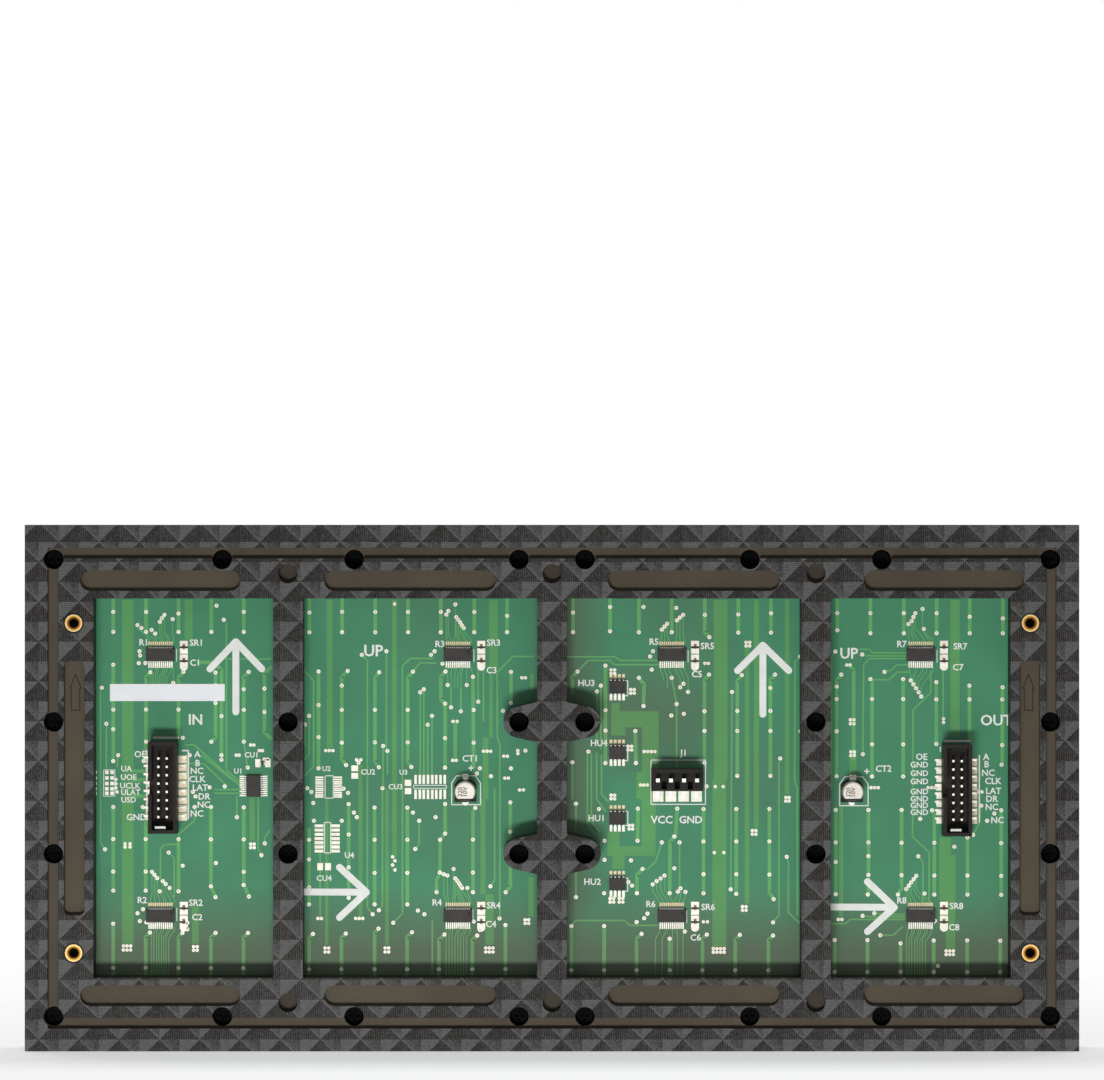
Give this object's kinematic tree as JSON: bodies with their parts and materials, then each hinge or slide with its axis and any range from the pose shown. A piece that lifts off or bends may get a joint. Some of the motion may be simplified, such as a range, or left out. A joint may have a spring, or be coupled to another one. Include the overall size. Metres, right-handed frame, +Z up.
{
  "type": "led display module",
  "caption": "Flat oblong LED display tile: a white LED grid behind a louvred black mask, a green circuit board, and a dark rear frame with windows, ribbon headers and a power socket.",
  "frame": {"origin": "under the middle of the module's box, on the surface it stands on", "axes": "+X along the long edge, +Y out of the wiring side, +Z up; the LEDs face -Y"},
  "size_m": [0.3196, 0.0178, 0.1596],
  "materials": {
    "frame_plastic": "dark grey moulded plastic with a grained back",
    "mask_plastic": "black moulded plastic, satin on the visors",
    "board_laminate": "green solder mask",
    "led_white": "white package with a clear cast lens",
    "black_steel": "black zinc-plated steel",
    "brass": "turned brass",
    "connector_plastic": "black moulded connector plastic",
    "gilt_pins": "gilt pins",
    "tinned_leads": "tinned leads",
    "package_plastic": "dark moulding compound",
    "can_aluminium": "drawn aluminium",
    "chip_ceramic": "ceramic chip with tinned ends",
    "label_paper": "white paper, blank"
  },
  "bodies": {
    "root": {"rear_frame": "frame_plastic", "face_mask": "mask_plastic", "circuit_board": "board_laminate", "led_row_01": "led_white", "led_row_02": "led_white", "led_row_03": "led_white", "led_row_04": "led_white", "led_row_05": "led_white", "led_row_06": "led_white", "led_row_07": "led_white", "led_row_08": "led_white", "led_row_09": "led_white", "led_row_10": "led_white", "led_row_11": "led_white", "led_row_12": "led_white", "led_row_13": "led_white", "led_row_14": "led_white", "led_row_15": "led_white", "led_row_16": "led_white", "frame_screws": "black_steel", "brass_inserts": "brass", "input_header_shroud": "connector_plastic", "input_header_pins": "gilt_pins", "output_header_shroud": "connector_plastic", "output_header_pins": "gilt_pins", "power_socket_housing": "connector_plastic", "power_socket_pins": "tinned_leads", "driver_circuit_1": "package_plastic", "driver_circuit_2": "package_plastic", "driver_circuit_3": "package_plastic", "driver_circuit_4": "package_plastic", "driver_circuit_5": "package_plastic", "driver_circuit_6": "package_plastic", "driver_circuit_7": "package_plastic", "driver_circuit_8": "package_plastic", "driver_leads": "tinned_leads", "row_switch_1": "package_plastic", "row_switch_2": "package_plastic", "row_switch_3": "package_plastic", "row_switch_4": "package_plastic", "row_switch_leads": "tinned_leads", "buffer_circuit": "package_plastic", "buffer_leads": "tinned_leads", "capacitor_can_left": "can_aluminium", "capacitor_can_right": "can_aluminium", "capacitor_base_left": "connector_plastic", "capacitor_base_right": "connector_plastic", "capacitor_terminals": "tinned_leads", "set_resistors": "chip_ceramic", "bypass_capacitors": "chip_ceramic", "paper_label": "label_paper"}
  },
  "joints": []
}
